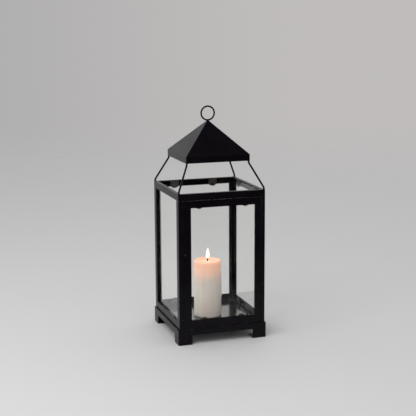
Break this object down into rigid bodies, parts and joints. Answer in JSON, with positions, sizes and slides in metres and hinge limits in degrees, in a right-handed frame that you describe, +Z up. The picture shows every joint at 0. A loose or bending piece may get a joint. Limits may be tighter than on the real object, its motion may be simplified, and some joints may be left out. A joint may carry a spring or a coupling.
{
  "type": "candle lantern",
  "caption": "Square glazed lantern of black sheet angles on a footed base, with a hinged glass door, a pyramid roof on bent rods, a hanging ring and a pillar candle.",
  "frame": {"origin": "under the middle of the base, on the surface the feet stand on", "axes": "+Z up through the ring; the glass door faces -Y, with its latch at -X and its hinge at +X"},
  "size_m": [0.247, 0.247, 0.6227],
  "materials": {
    "black_coat": "satin black powder coat on folded steel sheet",
    "gloss_coat": "glossy black enamel",
    "glass": "clear float glass",
    "clip_steel": "thin black coat on bent spring steel",
    "pin_steel": "plain steel wire",
    "wax": "ivory candle wax",
    "wick": "charred braided cotton"
  },
  "bodies": {
    "lantern": {"base": "black_coat", "floor_plate": "gloss_coat", "post_front_left": "black_coat", "post_front_right": "black_coat", "post_back_left": "black_coat", "post_back_right": "black_coat", "top_rail_front": "black_coat", "top_rail_right": "black_coat", "top_rail_back": "black_coat", "top_rail_left": "black_coat", "bottom_rail_right": "black_coat", "bottom_rail_back": "black_coat", "bottom_rail_left": "black_coat", "glass_right": "glass", "glass_back": "glass", "glass_left": "glass", "clip_right_top_1": "clip_steel", "clip_right_top_2": "clip_steel", "clip_right_bottom_1": "clip_steel", "clip_right_bottom_2": "clip_steel", "clip_back_top_1": "clip_steel", "clip_back_top_2": "clip_steel", "clip_back_bottom_1": "clip_steel", "clip_back_bottom_2": "clip_steel", "clip_left_top_1": "clip_steel", "clip_left_top_2": "clip_steel", "clip_left_bottom_1": "clip_steel", "clip_left_bottom_2": "clip_steel", "roof": "black_coat", "rod_front_left": "black_coat", "rod_front_right": "black_coat", "rod_back_left": "black_coat", "rod_back_right": "black_coat", "hanging_ring": "black_coat", "ring_nut": "pin_steel"},
    "door": {"door_frame": "black_coat", "door_glass": "glass", "clip_door_top_1": "clip_steel", "clip_door_top_2": "clip_steel", "clip_door_bottom_1": "clip_steel", "clip_door_bottom_2": "clip_steel", "hinge_pin_bottom": "pin_steel", "hinge_pin_top": "pin_steel"},
    "latch": {"latch_lever": "black_coat", "latch_tongue": "pin_steel", "latch_spindle": "pin_steel"},
    "candle": {"candle": "wax", "wick": "wick"}
  },
  "joints": [
    {"name": "door_hinge", "type": "hinge", "parent": "lantern", "child": "door", "pos_m": [0.101, -0.1158, 0.215], "axis": [0, 0, 1], "range_deg": [0, 120]},
    {"name": "latch_turn", "type": "hinge", "parent": "door", "child": "latch", "pos_m": [-0.1035, -0.12, 0.245], "axis": [0, -1, 0], "range_deg": [-32, 58]},
    {"name": "candle_lift", "type": "slide", "parent": "lantern", "child": "candle", "axis": [0, 0, 1], "range_m": [0, 0.15]}
  ]
}
